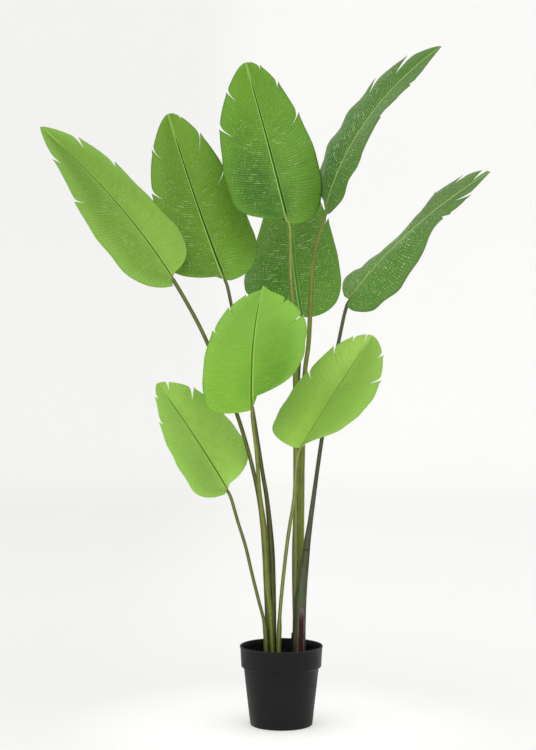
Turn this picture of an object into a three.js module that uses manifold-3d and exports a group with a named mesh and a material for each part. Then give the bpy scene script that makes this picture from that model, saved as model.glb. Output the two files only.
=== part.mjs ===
// Potted bird of paradise: nine banana-like leaves on long stalks in a round nursery pot.
// Units are millimetres, +Z is up, and the origin is the centre of the pot's underside.
// The plant is seen in the photograph from -Y, with +X to the right.
import * as THREE from "three";
import { mergeVertices } from "three/addons/utils/BufferGeometryUtils.js";
import Module from "manifold-3d";

// Pot
const POT_HEIGHT = 171;
const POT_BASE_RADIUS = 67.5;
const POT_WALL_TOP_RADIUS = 81.4;
const POT_WALL_TOP = 124;
const BAND_FOOT = 127;
const BAND_FOOT_RADIUS = 86.7;
const BAND_TOP_RADIUS = 89;
const RIM_RADIUS = 90;
const RIM_LIP_HEIGHT = 4;
const POT_WALL = 1.6;
const POT_FLOOR = 2;
const POT_SEGMENTS = 40;

// Potting mix
const FIT_GAP = 0.35;
const SOIL_TOP = 136;
const STALK_FOOT = 80;

// Leaf blades
const BLADE_THICKNESS = 1;
const RIB_DEPTH = 2.6;
const RIB_HALF_SHARE = 0.25;
const VEIN_SWEEP = 2.6;
const MARGIN_LIFT = 1.8;
const MARGIN_START = 1.25;
const ROUND_CORNER_SHARE = 0.955;
const SHARP_CORNER_SHARE = 1.02;
const ROUND_CORNER_LIFT = 0.9;
const MARGIN_RIPPLE = 1;
const RIPPLES = 5;
const BASE_SHOULDER_POWER = 2.2;
const FULLNESS_AT = [0, 0.15, 0.4, 0.7, 1];
const DERIVATIVE_STEP = 0.002;
const VEIN_ROWS = [0, 0.014, 0.05, 0.11, 0.18, 0.26, 0.34, 0.42, 0.58, 0.635, 0.75, 0.81, 0.91, 0.975, 1];
const ROW_CLEARANCE = 0.022;
const ACROSS = [0, 0.3, 0.62, 0.76, 0.9, 1];

// Each mould gives the half widths, where along the blade the widest place lies, and how the
// outline closes at the tip.
const MOULDS = {
  large: { left: 117, right: 107, leftWidest: 0.2, rightWidest: 0.29, tipFullness: 1.8, tipPoint: 0.61 },
  small: { left: 118, right: 121, leftWidest: 0.16, rightWidest: 0.37, tipFullness: 2.1, tipPoint: 0.7 },
};

// Each leaf: where its blade starts and ends, how it is turned about its midrib and twisted
// (degrees), and how the midrib bows towards the upper face and sideways. `fold` is how far each
// half folds up from the midrib (degrees), at even steps from foot to tip, and `curl` how far the
// halves curl back at 100 mm from it. `shoulder` and `upper` scale each half low down and high up,
// and `lobe` is how far each half reaches below the blade's foot, as a share of its length.
// A tear: where along the blade its vein starts, the column of ACROSS at its inner end, and how
// far it gapes. The stalk: its path from the potting mix up, and its radius at some heights.
const LEAVES = [
  {
    name: "far_left",
    mould: "large",
    base: [-232, -60, 963],
    tip: [-524, 5, 1296],
    roll: 48,
    twist: 4,
    bow: -7,
    sway: 31,
    fold: { left: [10, 8, 12], right: [5, 5, 17] },
    curl: 17,
    shoulder: { left: 0.95, right: 1.14 },
    upper: { left: 0.93, right: 1.06 },
    lobe: { left: 0.04, right: -0.02 },
    tears: { left: [[0.46, 3, 0.004], [0.69, 3, 0.004]], right: [[0.53, 4, 0.003], [0.725, 3, 0.006]] },
    path: [[-29, 0], [-33, -6, 291], [-48, -26, 488], [-89, -44, 654], [-129, -54, 756], [-174, -59, 859]],
    radii: [[148, 5], [550, 4.4], [950, 4.2]],
    bladeColour: 0x7ba946,
    stalkColour: 0x5f5b2e,
  },
  {
    name: "left",
    mould: "large",
    base: [-122, 10, 963],
    tip: [-256, 169, 1352],
    roll: 12,
    twist: -23,
    bow: -36,
    sway: 3,
    fold: { left: [0, 20, 0], right: [5, 2, 15] },
    curl: 19,
    shoulder: { left: 0.93, right: 1.02 },
    upper: { left: 1, right: 1.02 },
    lobe: { left: -0.03, right: 0.01 },
    tears: {
      left: [[0.47, 3, 0.004], [0.71, 3, 0.006]],
      right: [[0.53, 3, 0.004], [0.71, 2, 0.008], [0.865, 4, 0.005], [0.952, 1, 0.004]],
    },
    path: [
      [-16, 0], [-17, -2, 269], [-22, -6, 388], [-31, -10, 486], [-41, -11, 548], [-63, -13, 687],
      [-85, -8, 800], [-107, 1, 902],
    ],
    radii: [[148, 5], [270, 5.8], [380, 7], [470, 5.2], [560, 4.3], [902, 3.6]],
    bladeColour: 0x5c8f33,
    stalkColour: 0x4d4a26,
  },
  {
    name: "top",
    mould: "large",
    base: [16, 10, 1087],
    tip: [-80, 211, 1478],
    roll: 13,
    twist: -23,
    bow: -1,
    sway: 2,
    fold: { left: [-7, 5, 0], right: [-5, 11, 10] },
    curl: 19,
    shoulder: { left: 0.9, right: 1 },
    upper: { left: 1.06, right: 0.97 },
    lobe: { left: -0.03, right: 0.005 },
    tears: {
      left: [[0.48, 3, 0.005], [0.69, 3, 0.006]],
      right: [[0.51, 3, 0.008], [0.69, 2, 0.009], [0.85, 4, 0.006], [0.948, 1, 0.004]],
    },
    path: [[30, 10], [32, 7, 414], [31, 4, 746], [28, 4, 930]],
    radii: [[148, 5.8], [560, 5.2], [930, 3.7]],
    bladeColour: 0x5f9436,
    stalkColour: 0x6a6a32,
  },
  {
    name: "behind",
    mould: "large",
    base: [47, 110, 888],
    tip: [27, 369, 1252],
    roll: 4,
    twist: -24,
    bow: -16,
    sway: -7,
    fold: { left: [12, -16, -6], right: [12, 6, 9] },
    curl: 13,
    shoulder: { left: 1.02, right: 0.98 },
    upper: { left: 0.88, right: 1 },
    lobe: { left: 0.01, right: 0.01 },
    tears: { left: [[0.69, 3, 0.006]], right: [[0.53, 4, 0.005], [0.69, 2, 0.008], [0.86, 4, 0.006]] },
    path: [[33, 25], [29.5, 28, 250], [28.5, 36, 370], [31, 45, 450], [35, 60, 591], [39, 86, 756]],
    radii: [[148, 5], [600, 4.4], [870, 4]],
    bladeColour: 0x4a7a30,
    stalkColour: 0x3f4a30,
  },
  {
    name: "top_right",
    mould: "large",
    base: [99, 90, 1122],
    tip: [342, -63, 1451],
    roll: -63,
    twist: -1,
    bow: 46,
    sway: 7,
    fold: { left: [15, 10, 10], right: [12, 16, 12] },
    curl: 18,
    shoulder: { left: 1.02, right: 0.95 },
    upper: { left: 1.09, right: 1.02 },
    lobe: { left: -0.03, right: 0.005 },
    tears: { left: [[0.53, 3, 0.012], [0.71, 2, 0.014]], right: [[0.49, 4, 0.004], [0.67, 4, 0.004]] },
    path: [
      [43, 10], [43.5, 20, 320], [44.5, 34, 460], [46.5, 48, 592], [53, 75, 763], [61, 84, 823],
      [71, 96, 993], [80, 97, 1048],
    ],
    radii: [[148, 5.6], [330, 6], [440, 6.4], [600, 6.4], [760, 4.4], [1100, 3.6]],
    bladeColour: 0x4c7a3a,
    stalkColour: 0x6f6d34,
  },
  {
    name: "far_right",
    mould: "large",
    base: [152, 60, 922],
    tip: [432, -178, 1169],
    roll: -67,
    twist: 4,
    bow: 29,
    sway: 16,
    fold: { left: [51, 26, 17, 18, 20], right: [16, 17, 16] },
    curl: 58,
    shoulder: { left: 1.2, right: 0.98 },
    upper: { left: 0.88, right: 0.82 },
    lobe: { left: 0.02, right: 0.01 },
    tears: {
      left: [[0.57, 4, 0.003], [0.7, 2, 0.008], [0.95, 1, 0.006]],
      right: [[0.6, 4, 0.003], [0.755, 2, 0.006]],
    },
    path: [
      [37.5, -8], [39, -10, 224], [41, -11, 267], [46, -12, 311], [56.5, -10, 398], [63, -9, 442],
      [69, -5, 485], [88, 8, 616], [106, 25, 723], [127, 45, 832],
    ],
    radii: [
      [148, 14.8], [224, 14.2], [267, 13.4], [311, 10.8], [354, 9.2], [398, 7.3], [442, 5.6],
      [529, 4.6], [900, 3.9],
    ],
    bladeColour: 0x47753a,
    stalkColour: 0x3f4d38,
  },
  {
    name: "front",
    mould: "small",
    base: [-62, -150, 684],
    tip: [-41, 1, 940],
    roll: -25,
    twist: 35,
    bow: 24,
    sway: 1,
    fold: { left: [13, 12, 10], right: [-2, 6, 14] },
    curl: 10,
    shoulder: { left: 1.01, right: 0.96 },
    upper: { left: 0.99, right: 1.07 },
    lobe: { left: 0.004, right: -0.07 },
    tears: {
      left: [[0.5, 4, 0.004], [0.67, 3, 0.006], [0.82, 4, 0.004]],
      right: [[0.54, 3, 0.005], [0.72, 4, 0.004]],
    },
    path: [
      [-19, -15], [-23, -29, 230], [-30, -52, 298], [-37, -106, 425], [-46, -136, 510], [-53, -157, 602],
    ],
    radii: [[200, 5.8], [290, 6.6], [380, 6.2], [440, 5.8], [520, 4.1], [684, 3.9]],
    bladeColour: 0x82b548,
    stalkColour: 0x757a3a,
  },
  {
    name: "front_right",
    mould: "small",
    base: [40, -145, 605],
    tip: [193, -67, 841],
    roll: -49,
    twist: 37,
    bow: -11,
    sway: -14,
    fold: { left: [28, 20, 19], right: [19, 16, 19] },
    curl: 18,
    shoulder: { left: 1.04, right: 1.06 },
    upper: { left: 0.92, right: 0.97 },
    lobe: { left: 0.02, right: -0.02 },
    tears: {
      left: [[0.47, 3, 0.004], [0.67, 3, 0.006], [0.815, 4, 0.005], [0.93, 1, 0.006]],
      right: [[0.545, 3, 0.004], [0.735, 4, 0.005]],
    },
    path: [[-6, -15], [-4, -29, 230], [1, -52, 297], [11, -100, 398], [16.5, -118, 440], [25, -138, 495]],
    radii: [[210, 5.6], [235, 4], [605, 3.8]],
    bladeColour: 0x86b84e,
    stalkColour: 0x757c40,
  },
  {
    name: "front_left",
    mould: "small",
    base: [-114, -110, 515],
    tip: [-263, -87, 739],
    roll: 50,
    twist: -3,
    bow: -39,
    sway: 46,
    fold: { left: [17, 17, 20], right: [17, 12, 17] },
    curl: 13,
    shoulder: { left: 0.95, right: 1.04 },
    upper: { left: 1.04, right: 1.01 },
    lobe: { left: 0.02, right: -0.035 },
    tears: { left: [[0.59, 4, 0.003], [0.79, 4, 0.003]], right: [[0.7, 2, 0.009], [0.91, 1, 0.006]] },
    path: [
      [-32, -15], [-36, -27, 219], [-49, -45, 275], [-63, -68, 335], [-77, -91, 398], [-92, -104, 448],
    ],
    radii: [[205, 5.4], [235, 3.7], [515, 3.4]],
    bladeColour: 0x84b64c,
    stalkColour: 0x72783e,
  },
];

// Stalks: the foot stands upright in the potting mix, and the top runs into the midrib.
const STALK_SIDES = 8;
const STALK_STEPS = 18;
const UPRIGHT_ABOVE_SOIL = 12;
const NECK_LENGTH = 16;
const NECK_GAP = 0.3;
const NECK_STEP = 0.1;

// The far right leaf's stalk widens into the sheath that wraps the right clump. It is flattened
// from front to back: above this radius, its depth grows only this much as fast.
const SHEATH_ROUND_TO = 5;
const SHEATH_FLATNESS = 0.4;

// Withered leaf bases pressed against the sheath: the angle of the middle (degrees, 0 at the
// front, positive to the right), half the angle covered, and the height of the pointed top.
const DRY_SHEATH = { name: "dry_sheath", middle: 15, half: 26, top: 258, colour: 0x4a3226 };
const BRACT = { name: "bract", middle: -72, half: 22, top: 200, colour: 0x2b2a22 };
const WITHERED_THICKNESS = 1.4;
const WITHERED_ROWS = 10;
const WITHERED_COLUMNS = 6;

const POT_COLOUR = 0x242426;
const SOIL_COLOUR = 0x1c1510;

const wasm = await Module();
wasm.setup();

function vector([x, y, z]) {
  return new THREE.Vector3(x, y, z);
}

function positionOnly(geometry) {
  geometry.deleteAttribute("normal");
  geometry.deleteAttribute("uv");
  return mergeVertices(geometry, 1e-3);
}

function toSolid(geometry) {
  const clean = positionOnly(geometry);
  return new wasm.Manifold(new wasm.Mesh({
    numProp: 3,
    vertProperties: new Float32Array(clean.attributes.position.array),
    triVerts: new Uint32Array(clean.index.array),
  }));
}

function toGeometry(solid) {
  const mesh = solid.getMesh();
  const geometry = new THREE.BufferGeometry();
  geometry.setAttribute("position", new THREE.BufferAttribute(new Float32Array(mesh.vertProperties), 3));
  geometry.setIndex(new THREE.BufferAttribute(new Uint32Array(mesh.triVerts), 1));
  return geometry;
}

// Closes an open sheet of triangles into a solid: the sheet is raised by `above` and lowered by
// `below` along its normals, and every open edge gets a wall. Both faces share their triangles.
function solidSheet(sheet) {
  const count = sheet.points.length;
  const positions = [];
  for (let side = 0; side < 2; side += 1) {
    for (let i = 0; i < count; i += 1) {
      const lift = side === 0 ? sheet.above[i] : -sheet.below[i];
      const point = sheet.points[i].clone().addScaledVector(sheet.normals[i], lift);
      positions.push(point.x, point.y, point.z);
    }
  }
  const index = [];
  const edges = new Set();
  for (const [a, b, c] of sheet.triangles) {
    index.push(a, b, c, a + count, c + count, b + count);
    edges.add(`${a} ${b}`).add(`${b} ${c}`).add(`${c} ${a}`);
  }
  for (const edge of edges) {
    const [a, b] = edge.split(" ").map(Number);
    if (!edges.has(`${b} ${a}`)) {
      index.push(a, a + count, b, b, a + count, b + count);
    }
  }
  const geometry = new THREE.BufferGeometry();
  geometry.setAttribute("position", new THREE.Float32BufferAttribute(positions, 3));
  geometry.setIndex(index);
  return geometry;
}

// Evenly spaced places along the blade, one for each value.
function evenly(values) {
  return values.map((_, i) => i / (values.length - 1));
}

// A value that changes smoothly between the given places along the blade.
function eased(places, values, at) {
  const last = places.length - 1;
  const held = THREE.MathUtils.clamp(at, places[0], places[last]);
  const next = Math.max(1, places.findIndex((place) => held <= place));
  const share = THREE.MathUtils.smoothstep(held, places[next - 1], places[next]);
  return THREE.MathUtils.lerp(values[next - 1], values[next], share);
}

// Half width of a leaf's outline at a share of its length, on one side.
function halfWidth(leaf, side, share) {
  const mould = MOULDS[leaf.mould];
  const widest = mould[`${side}Widest`];
  const shoulder = leaf.shoulder[side];
  const width = mould[side] * eased(FULLNESS_AT, [shoulder, shoulder, 1, leaf.upper[side], 1], share);
  if (share < widest) {
    const down = Math.min(1, (widest - share) / (widest + leaf.lobe[side]));
    return width * Math.sqrt(Math.max(0, 1 - down ** BASE_SHOULDER_POWER));
  }
  const up = Math.min(1, (share - widest) / (1 - widest));
  return width * (1 - up ** mould.tipFullness) ** mould.tipPoint;
}

// Share of the length at which a vein that starts at `vein` reaches the margin.
function marginShare(leaf, side, vein) {
  const reach = 1 - (1 - vein ** MARGIN_START) ** MARGIN_LIFT;
  return reach * (1 + leaf.lobe[side]) - leaf.lobe[side];
}

// The blade's middle surface: a share of the length and a distance from the midrib to a point.
function bladeSurface(leaf) {
  const base = vector(leaf.base);
  const chord = vector(leaf.tip).sub(base);
  const axis = chord.clone().normalize();
  const viewer = new THREE.Vector3(0, -1, 0);
  const facing = viewer.addScaledVector(axis, -viewer.dot(axis)).normalize();
  const upper = facing.applyAxisAngle(axis, THREE.MathUtils.degToRad(leaf.roll));
  const side = axis.clone().cross(upper);
  return (share, across) => {
    const turn = THREE.MathUtils.degToRad(leaf.twist * (share - 0.5));
    const up = upper.clone().multiplyScalar(Math.cos(turn)).addScaledVector(side, Math.sin(turn));
    const out = side.clone().multiplyScalar(Math.cos(turn)).addScaledVector(upper, -Math.sin(turn));
    const arch = 4 * share * (1 - share);
    const folds = across < 0 ? leaf.fold.left : leaf.fold.right;
    const fold = THREE.MathUtils.degToRad(eased(evenly(folds), folds, share));
    const distance = Math.abs(across);
    const ripple = MARGIN_RIPPLE * Math.sin(2 * Math.PI * RIPPLES * share) * (distance / 100) ** 3;
    const raised = distance * Math.sin(fold) - leaf.curl * (distance / 100) ** 2 + ripple;
    return base.clone()
      .addScaledVector(chord, share)
      .addScaledVector(upper, arch * leaf.bow)
      .addScaledVector(side, arch * leaf.sway)
      .addScaledVector(out, across * Math.cos(fold))
      .addScaledVector(up, raised);
  };
}

function surfaceNormal(surface, share, across) {
  const stepAcross = 100 * DERIVATIVE_STEP;
  const along = surface(share + DERIVATIVE_STEP, across).sub(surface(share - DERIVATIVE_STEP, across));
  const over = surface(share, across + stepAcross).sub(surface(share, across - stepAcross));
  return over.cross(along).normalize();
}

// A blade as a sheet of rows along the side veins, torn open between some of them.
function bladeGeometry(leaf) {
  const surface = bladeSurface(leaf);
  const tears = ["left", "right"].flatMap(
    (side) => leaf.tears[side].map(([at, inner, gape]) => ({ side, at, inner, gape })),
  );
  const farFromTears = (row) => tears.every((tear) => Math.abs(tear.at - row) > ROW_CLEARANCE);
  const plainRows = VEIN_ROWS.filter(farFromTears);
  const rows = [...new Set([...plainRows, ...tears.map((tear) => tear.at)])].sort((a, b) => a - b);
  const sheet = { points: [], normals: [], above: [], below: [], triangles: [] };
  const lastColumn = ACROSS.length - 1;

  function addVertex(side, vein, out) {
    const margin = marginShare(leaf, side, vein);
    const share = vein + (margin - vein) * out ** VEIN_SWEEP;
    const across = (side === "left" ? -1 : 1) * halfWidth(leaf, side, margin) * out;
    const rib = RIB_DEPTH * Math.max(0, 1 - out / RIB_HALF_SHARE) * (1 - 0.8 * vein);
    sheet.points.push(surface(share, across));
    sheet.normals.push(surfaceNormal(surface, share, across));
    sheet.above.push(BLADE_THICKNESS / 2);
    sheet.below.push(BLADE_THICKNESS / 2 + rib);
    return sheet.points.length - 1;
  }

  const midrib = rows.map((row) => addVertex("right", row, 0));
  for (const side of ["left", "right"]) {
    const under = [];
    const over = [];
    rows.forEach((row, i) => {
      if (i === 0 || i === rows.length - 1) {
        under.push(ACROSS.map(() => midrib[i]));
        over.push(ACROSS.map(() => midrib[i]));
        return;
      }
      const tear = tears.find((entry) => entry.side === side && entry.at === row);
      const lower = [midrib[i]];
      const upper = [midrib[i]];
      for (let j = 1; j <= lastColumn; j += 1) {
        if (!tear || j <= tear.inner) {
          lower.push(addVertex(side, row, ACROSS[j]));
          upper.push(lower[j]);
        } else {
          const open = tear.gape * (ACROSS[j] - ACROSS[tear.inner]) / (1 - ACROSS[tear.inner]);
          const atMargin = j === lastColumn;
          const sharp = atMargin ? SHARP_CORNER_SHARE : ACROSS[j];
          const round = atMargin ? ROUND_CORNER_SHARE : ACROSS[j];
          lower.push(addVertex(side, row - open, sharp));
          upper.push(addVertex(side, row + open * (atMargin ? 1 + ROUND_CORNER_LIFT : 1), round));
        }
      }
      under.push(lower);
      over.push(upper);
    });
    for (let i = 1; i < rows.length; i += 1) {
      for (let j = 0; j < lastColumn; j += 1) {
        const quad = [over[i - 1][j], over[i - 1][j + 1], under[i][j + 1], under[i][j]];
        for (const corners of [[quad[0], quad[1], quad[2]], [quad[0], quad[2], quad[3]]]) {
          if (new Set(corners).size === 3) {
            sheet.triangles.push(side === "right" ? corners : corners.reverse());
          }
        }
      }
    }
  }
  return solidSheet(sheet);
}

// The stalk rises from the mix and ends below the blade, in line with its midrib.
function stalkCurve(leaf) {
  const [footX, footY] = leaf.path[0];
  const surface = bladeSurface(leaf);
  const axis = surface(DERIVATIVE_STEP, 0).sub(surface(0, 0)).normalize();
  const top = surface(0, 0).addScaledVector(surfaceNormal(surface, 0, 0), -RIB_DEPTH / 2);
  const foot = [STALK_FOOT, (STALK_FOOT + SOIL_TOP) / 2, SOIL_TOP + UPRIGHT_ABOVE_SOIL];
  const points = foot.map((height) => new THREE.Vector3(footX, footY, height));
  points.push(...leaf.path.slice(1).map(vector));
  points.push(top.clone().addScaledVector(axis, -NECK_LENGTH));
  points.push(top.clone().addScaledVector(axis, -(leaf.neckGap ?? NECK_GAP)));
  return new THREE.CatmullRomCurve3(points);
}

// Half width and half depth of a stalk at a height.
function stalkSection(leaf, height) {
  const next = leaf.radii.findIndex(([at]) => height <= at);
  const [highAt, high] = leaf.radii.at(next);
  const [lowAt, low] = leaf.radii[Math.max(0, next - 1)];
  const share = next > 0 ? (height - lowAt) / (highAt - lowAt) : 0;
  const radius = next > 0 ? THREE.MathUtils.lerp(low, high, share) : high;
  if (leaf.name !== "far_right" || radius < SHEATH_ROUND_TO) {
    return [radius, radius];
  }
  return [radius, SHEATH_ROUND_TO + (radius - SHEATH_ROUND_TO) * SHEATH_FLATNESS];
}

// A round or oval stalk: an upright cylinder bent along the stalk's curve.
function stalkGeometry(leaf, margin = 0) {
  const curve = stalkCurve(leaf);
  const geometry = new THREE.CylinderGeometry(1, 1, 1, STALK_SIDES, STALK_STEPS);
  const position = geometry.attributes.position;
  const sideways = new THREE.Vector3(1, 0, 0);
  for (let i = 0; i < position.count; i += 1) {
    const share = position.getY(i) + 0.5;
    const centre = curve.getPointAt(share);
    const along = curve.getTangentAt(share);
    const right = sideways.clone().addScaledVector(along, -sideways.dot(along)).normalize();
    const front = right.clone().cross(along);
    const [halfAcross, halfDeep] = stalkSection(leaf, centre.z);
    centre.addScaledVector(right, position.getX(i) * (halfAcross + margin));
    centre.addScaledVector(front, position.getZ(i) * (halfDeep + margin));
    centre.addScaledVector(along, (2 * share - 1) * margin);
    position.setXYZ(i, centre.x, centre.y, centre.z);
  }
  return geometry;
}

// Lowers the top of the stalk in small steps until it only just clears the foot of its blade,
// one side of which may hang beside it.
function seatStalk(leaf) {
  const blade = toSolid(bladeGeometry(leaf));
  leaf.neckGap = NECK_GAP;
  while (!toSolid(stalkGeometry(leaf, NECK_GAP)).intersect(blade).isEmpty()) {
    leaf.neckGap += NECK_STEP;
  }
}

// A withered leaf base: a thin pointed shell that wraps part of the sheath and stands on the mix.
function witheredGeometry(piece) {
  const leaf = LEAVES.find((entry) => entry.name === "far_right");
  const curve = stalkCurve(leaf);
  const samples = curve.getSpacedPoints(200);
  const bottom = SOIL_TOP + FIT_GAP;
  const sheet = { points: [], normals: [], above: [], below: [], triangles: [] };
  for (let i = 0; i <= WITHERED_ROWS; i += 1) {
    const rise = i / WITHERED_ROWS;
    const height = THREE.MathUtils.lerp(bottom, piece.top, rise);
    const centre = samples.find((sample) => sample.z >= height);
    const taper = Math.sqrt(Math.max(0, 1 - rise ** 3));
    const [halfAcross, halfDeep] = stalkSection(leaf, height);
    const clear = FIT_GAP + WITHERED_THICKNESS / 2 + 0.4;
    for (let j = 0; j <= WITHERED_COLUMNS; j += 1) {
      const spread = (2 * j / WITHERED_COLUMNS - 1) * piece.half * Math.max(taper, 0.06);
      const angle = THREE.MathUtils.degToRad(piece.middle + spread);
      const normal = new THREE.Vector3(Math.sin(angle), -Math.cos(angle), 0);
      sheet.points.push(new THREE.Vector3(
        centre.x + (halfAcross + clear) * normal.x,
        centre.y + (halfDeep + clear) * normal.y,
        height,
      ));
      sheet.normals.push(normal);
      sheet.above.push(WITHERED_THICKNESS / 2);
      sheet.below.push(WITHERED_THICKNESS / 2);
    }
  }
  for (let i = 0; i < WITHERED_ROWS; i += 1) {
    for (let j = 0; j < WITHERED_COLUMNS; j += 1) {
      const corner = i * (WITHERED_COLUMNS + 1) + j;
      const above = corner + WITHERED_COLUMNS + 1;
      sheet.triangles.push([corner, corner + 1, above + 1], [corner, above + 1, above]);
    }
  }
  return solidSheet(sheet);
}

function turned(profile, segments) {
  const points = profile.map(([radius, height]) => new THREE.Vector2(radius, height));
  return new THREE.LatheGeometry(points, segments).rotateX(Math.PI / 2);
}

function potGeometry() {
  const innerBase = POT_BASE_RADIUS - POT_WALL;
  return turned([
    [0, 0],
    [POT_BASE_RADIUS - 2, 0],
    [POT_BASE_RADIUS, 2],
    [POT_WALL_TOP_RADIUS, POT_WALL_TOP],
    [BAND_FOOT_RADIUS - 1, BAND_FOOT - 1],
    [BAND_FOOT_RADIUS, BAND_FOOT],
    [BAND_TOP_RADIUS, POT_HEIGHT - RIM_LIP_HEIGHT],
    [RIM_RADIUS, POT_HEIGHT - RIM_LIP_HEIGHT + 1],
    [RIM_RADIUS, POT_HEIGHT - 1],
    [RIM_RADIUS - 1, POT_HEIGHT],
    [BAND_TOP_RADIUS - POT_WALL, POT_HEIGHT],
    [BAND_FOOT_RADIUS - POT_WALL, BAND_FOOT + POT_WALL],
    [POT_WALL_TOP_RADIUS - POT_WALL, POT_WALL_TOP + POT_WALL],
    [innerBase, POT_FLOOR],
    [0, POT_FLOOR],
  ], POT_SEGMENTS);
}

// The filling reaches up into the band, with a hole where each stalk stands.
function soilGeometry() {
  const bandGap = POT_WALL + 2 * FIT_GAP;
  const filling = turned([
    [0, POT_FLOOR + FIT_GAP],
    [POT_BASE_RADIUS - POT_WALL - FIT_GAP, POT_FLOOR + FIT_GAP],
    [POT_WALL_TOP_RADIUS - bandGap, POT_WALL_TOP + bandGap],
    [BAND_FOOT_RADIUS - bandGap, BAND_FOOT + bandGap],
    [BAND_FOOT_RADIUS - POT_WALL - FIT_GAP, SOIL_TOP],
    [0, SOIL_TOP],
  ], POT_SEGMENTS);
  let solid = toSolid(filling);
  for (const leaf of LEAVES) {
    solid = solid.subtract(toSolid(stalkGeometry(leaf, FIT_GAP)));
  }
  return toGeometry(solid);
}

LEAVES.forEach(seatStalk);
const plant = new THREE.Group();

function addPiece(name, geometry, colour, roughness) {
  const material = new THREE.MeshStandardMaterial({ color: colour, roughness, metalness: 0 });
  const mesh = new THREE.Mesh(geometry, material);
  mesh.name = name;
  plant.add(mesh);
}

addPiece("pot", potGeometry(), POT_COLOUR, 0.55);
addPiece("soil", soilGeometry(), SOIL_COLOUR, 0.95);
for (const leaf of LEAVES) {
  addPiece(`stalk_${leaf.name}`, stalkGeometry(leaf), leaf.stalkColour, 0.5);
  addPiece(`blade_${leaf.name}`, bladeGeometry(leaf), leaf.bladeColour, 0.45);
}
for (const piece of [DRY_SHEATH, BRACT]) {
  addPiece(piece.name, witheredGeometry(piece), piece.colour, 0.8);
}

export default plant;
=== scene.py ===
import math
import random

import bpy
import numpy as np
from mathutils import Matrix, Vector, noise


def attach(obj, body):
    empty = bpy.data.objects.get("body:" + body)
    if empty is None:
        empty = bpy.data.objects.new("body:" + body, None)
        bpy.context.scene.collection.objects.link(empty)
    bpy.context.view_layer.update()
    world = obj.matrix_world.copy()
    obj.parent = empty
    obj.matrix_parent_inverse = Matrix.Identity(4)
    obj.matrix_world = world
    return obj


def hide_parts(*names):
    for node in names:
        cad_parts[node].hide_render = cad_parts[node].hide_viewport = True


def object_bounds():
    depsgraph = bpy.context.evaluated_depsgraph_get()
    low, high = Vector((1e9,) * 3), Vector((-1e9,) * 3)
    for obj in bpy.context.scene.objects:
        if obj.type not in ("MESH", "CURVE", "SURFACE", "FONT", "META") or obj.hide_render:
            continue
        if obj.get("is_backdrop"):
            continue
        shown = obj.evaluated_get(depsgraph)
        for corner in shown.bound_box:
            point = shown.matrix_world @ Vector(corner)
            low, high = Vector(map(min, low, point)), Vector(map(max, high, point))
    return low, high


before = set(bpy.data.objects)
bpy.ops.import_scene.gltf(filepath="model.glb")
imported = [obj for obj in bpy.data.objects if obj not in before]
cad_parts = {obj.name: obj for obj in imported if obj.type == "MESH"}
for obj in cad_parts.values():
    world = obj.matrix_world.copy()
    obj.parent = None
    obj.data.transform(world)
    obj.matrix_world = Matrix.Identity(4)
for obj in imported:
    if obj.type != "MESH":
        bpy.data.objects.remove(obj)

CAD_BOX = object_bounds()

# Nursery pot
# A thin-walled grower's pot, injection moulded in one piece from black polypropylene. The deep
# band under the rim stiffens it, and the faint grain comes from the mould.
MM = 0.001
POT_SIDES = 160
# Pairs of radius and height in millimetres, up the outside and back down the inside.
POT_OUTSIDE = [
    (0, 0), (64, 0), (66.2, 0.3), (67.1, 1.1), (67.5, 2.4), (69, 15), (71.1, 33), (74.3, 61), (77.7, 91),
    (80.5, 116), (81.15, 122.2), (81.9, 124.3), (83.8, 125.4), (86, 125.8), (86.6, 126.4), (86.8, 127.8),
    (87.7, 145), (88.85, 166), (89.2, 166.9), (89.8, 167.4), (90, 168.2), (90, 169.8), (89.6, 170.6),
    (88.9, 171),
]
POT_INSIDE = [
    (88, 170.8), (87.5, 170), (86.8, 160), (85.3, 131), (84.8, 128.8), (83, 128), (80.8, 127.2),
    (80, 125.5), (79, 116), (72.7, 61), (66.1, 4), (65, 2), (0, 2),
]
# Metres, as materials read them: the groove under the band, where a shadow line is painted, the shelf
# inside, above which the inner wall is painted in shade, the rim, which carries a faint painted highlight,
# and the middle of the band's wall, which is given by its radius if carried down to the ground and its
# slope.
BAND_FOOT = 0.1245
SHELF_HEIGHTS = (0.1279, 0.1290)
RIM_HEIGHTS = (0.1685, 0.1705)
WALL_RADIUS = 0.0800
WALL_SLOPE = 0.053


def add_object(name, data, place=(0, 0, 0), turn=(0, 0, 0)):
    added = bpy.data.objects.new(name, data)
    added.location, added.rotation_euler = place, turn
    bpy.context.collection.objects.link(added)
    return added


def build_piece(name, points, faces, smooth=None):
    """A mesh object. All its faces, or only the first `smooth` ones, are shaded smooth."""
    mesh = bpy.data.meshes.new(name)
    mesh.from_pydata(np.array(points).tolist(), [], faces)
    mesh.polygons.foreach_set("use_smooth", [smooth is None or i < smooth for i in range(len(faces))])
    return add_object(name, mesh)


def circle(radius, sides):
    """Places (x, y) evenly round a circle, or its centre alone where the radius is nothing."""
    angles = np.linspace(0, 2 * math.pi, sides, endpoint=False) if radius else [0]
    return [(radius * math.cos(angle), radius * math.sin(angle)) for angle in angles]


def turned_over(faces, shift=0):
    """The same faces seen from behind, on vertices that lie `shift` further on."""
    return [tuple(v + shift for v in (face[0], *face[:0:-1])) for face in faces]


def turned_faces(rings, sides, closed=True, flip=False):
    """Faces over rings of points, fanned from a first point and, where closed, in to a last one."""
    faces = []
    last = 1 + (rings - 1) * sides
    for j in range(sides):
        k = (j + 1) % sides
        faces.append((0, 1 + j, 1 + k))
        for ring in range(1, last, sides):
            faces.append((ring + j, ring + sides + j, ring + sides + k, ring + k))
        if closed:
            faces.append((last + j, last + sides, last + k))
    return turned_over(faces) if flip else faces


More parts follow.
